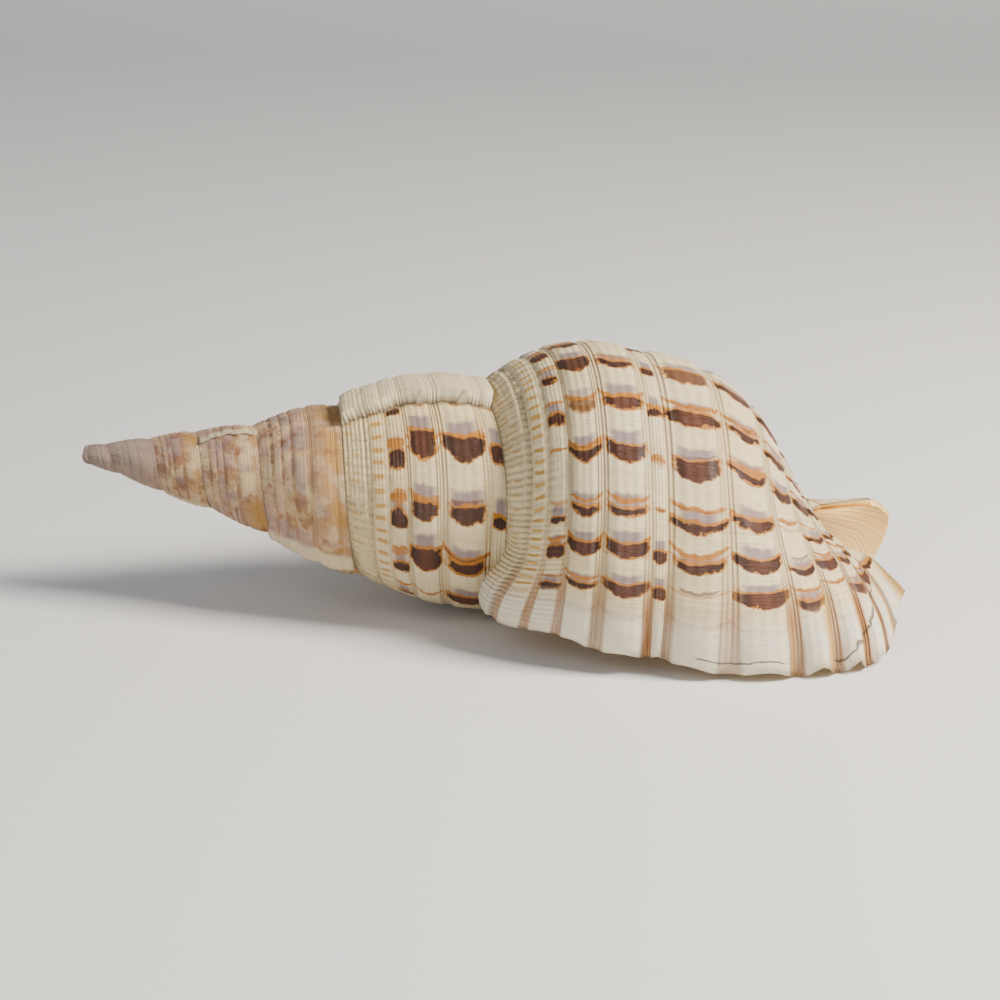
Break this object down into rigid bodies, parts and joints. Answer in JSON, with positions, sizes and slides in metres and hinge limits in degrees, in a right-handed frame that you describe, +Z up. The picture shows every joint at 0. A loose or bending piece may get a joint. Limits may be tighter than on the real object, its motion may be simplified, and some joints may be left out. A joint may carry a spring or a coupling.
{
  "type": "triton's trumpet shell",
  "caption": "Large right-handed sea snail shell with a tall tapering spire, flared scalloped lip and open hollow, lying on its opening.",
  "frame": {"origin": "middle of the shell's outline, seen from above, at the height of the ground that it rests on", "axes": "+X towards the canal end, with the pointed tip at -X; -Y towards the side where the lip flares; +Z up, away from the ground"},
  "size_m": [0.3048, 0.128, 0.1023],
  "materials": {
    "shell": "satin"
  },
  "bodies": {
    "root": {"shell": "shell"}
  },
  "joints": []
}
